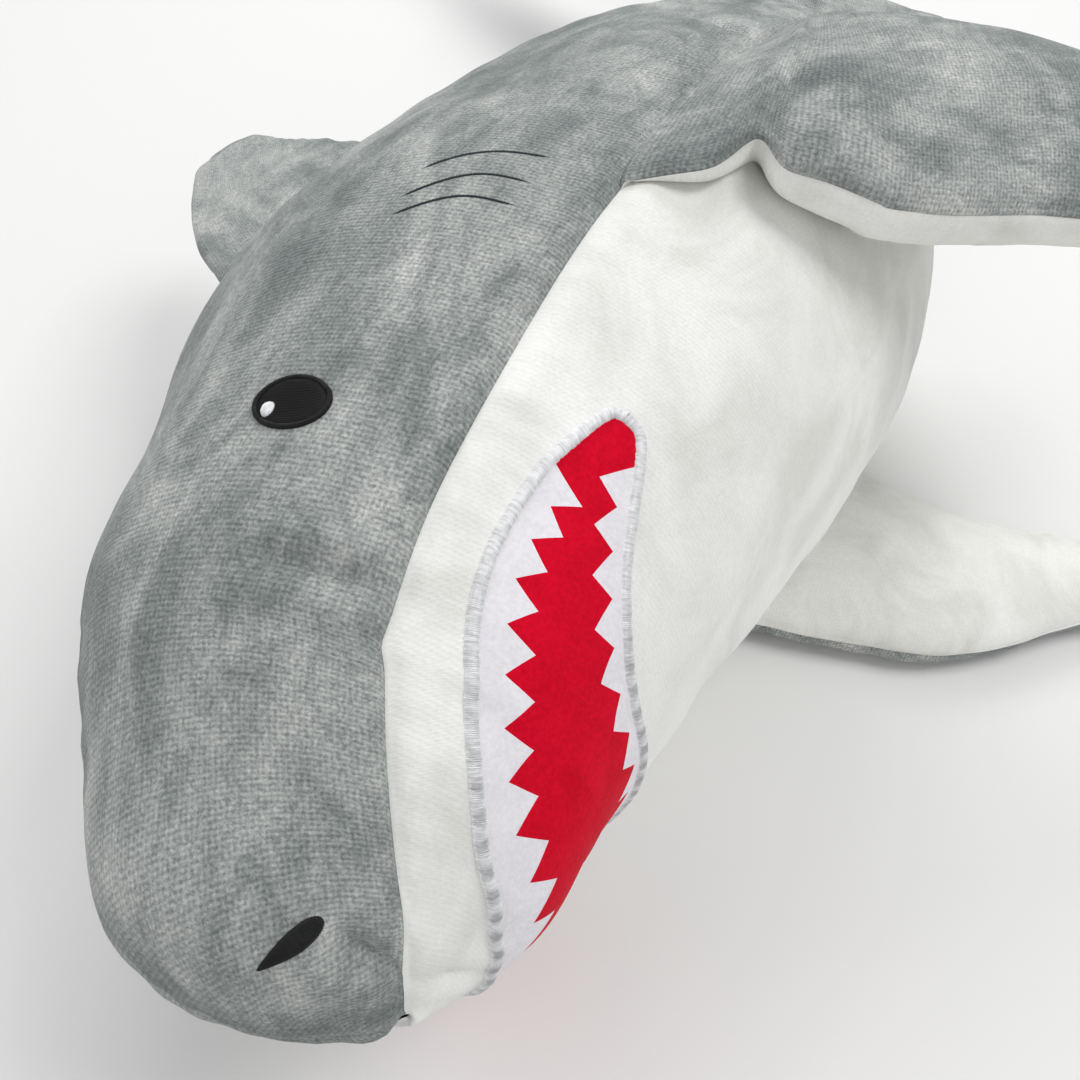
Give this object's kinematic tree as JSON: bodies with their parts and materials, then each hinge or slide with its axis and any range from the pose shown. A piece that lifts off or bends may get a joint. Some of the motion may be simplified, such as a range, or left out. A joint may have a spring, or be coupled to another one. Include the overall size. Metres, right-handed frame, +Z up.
{
  "type": "plush shark",
  "caption": "Stuffed plush shark lying on its side: grey back, white belly, printed zig-zag mouth, embroidered face and soft fins that flex.",
  "frame": {"origin": "middle of the bounding box, at its bottom, on the surface that the shark lies on", "axes": "+Z up, +Y from the snout to the tail, +X towards the shark's belly; the shark lies on its right side"},
  "size_m": [0.4416, 0.7333, 0.1907],
  "materials": {
    "grey_plush": "short brushed pile, soft sheen",
    "white_plush": "short brushed pile, soft sheen",
    "fibre_filling": "loose polyester fibre",
    "printed_mouth_cloth": "red and white printed short-pile cloth",
    "silver_satin_thread": "shiny satin stitches",
    "black_satin_thread": "shiny satin stitches",
    "white_thread": "satin stitches",
    "dark_thread": "thin running stitches"
  },
  "bodies": {
    "torso": {"torso_back_panel_left": "grey_plush", "torso_back_panel_right": "grey_plush", "torso_belly_panel": "white_plush", "torso_stuffing": "fibre_filling", "mouth_print": "printed_mouth_cloth", "mouth_border_stitching": "silver_satin_thread", "eye_left": "black_satin_thread", "eye_right": "black_satin_thread", "eye_glint_left": "white_thread", "eye_glint_right": "white_thread", "nostril_left": "black_satin_thread", "nostril_right": "black_satin_thread", "gill_stitches_left": "dark_thread", "gill_stitches_right": "dark_thread"},
    "tail": {"tail_back_panel_left": "grey_plush", "tail_back_panel_right": "grey_plush", "tail_belly_panel": "white_plush", "tail_stuffing": "fibre_filling"},
    "dorsal_fin": {"dorsal_fin_left_panel": "grey_plush", "dorsal_fin_right_panel": "grey_plush", "dorsal_fin_stuffing": "fibre_filling"},
    "left_pectoral_fin": {"left_pectoral_fin_top_panel": "grey_plush", "left_pectoral_fin_under_panel": "white_plush", "left_pectoral_fin_stuffing": "fibre_filling"},
    "right_pectoral_fin": {"right_pectoral_fin_top_panel": "grey_plush", "right_pectoral_fin_under_panel": "white_plush", "right_pectoral_fin_stuffing": "fibre_filling"},
    "caudal_fin": {"caudal_fin_left_panel": "grey_plush", "caudal_fin_right_panel": "grey_plush", "caudal_fin_stuffing": "fibre_filling"}
  },
  "joints": [
    {"name": "tail_bend", "type": "hinge", "parent": "torso", "child": "tail", "pos_m": [-0.0046, 0.0731, 0.0688], "axis": [0.2249, 0.034, 0.9738], "range_deg": [-10, 10], "stiffness_Nm_per_rad": 8},
    {"name": "caudal_flex", "type": "hinge", "parent": "tail", "child": "caudal_fin", "pos_m": [-0.0299, 0.2112, 0.0698], "axis": [0.9744, -0.0079, -0.2248], "range_deg": [0, 25], "stiffness_Nm_per_rad": 1.5},
    {"name": "dorsal_flex", "type": "hinge", "parent": "torso", "child": "dorsal_fin", "pos_m": [-0.1259, -0.1163, 0.1013], "axis": [0.2026, 0.9759, -0.0809], "range_deg": [-5, 20], "stiffness_Nm_per_rad": 0.8},
    {"name": "left_pectoral_flex", "type": "hinge", "parent": "torso", "child": "left_pectoral_fin", "pos_m": [-0.0068, -0.1201, 0.1818], "axis": [0, -0.9994, 0.0349], "range_deg": [-8, 20], "stiffness_Nm_per_rad": 2},
    {"name": "right_pectoral_flex", "type": "hinge", "parent": "torso", "child": "right_pectoral_fin", "pos_m": [0.0441, -0.1234, 0.011], "axis": [0, -1, 0], "range_deg": [0, 12], "stiffness_Nm_per_rad": 1.5}
  ]
}
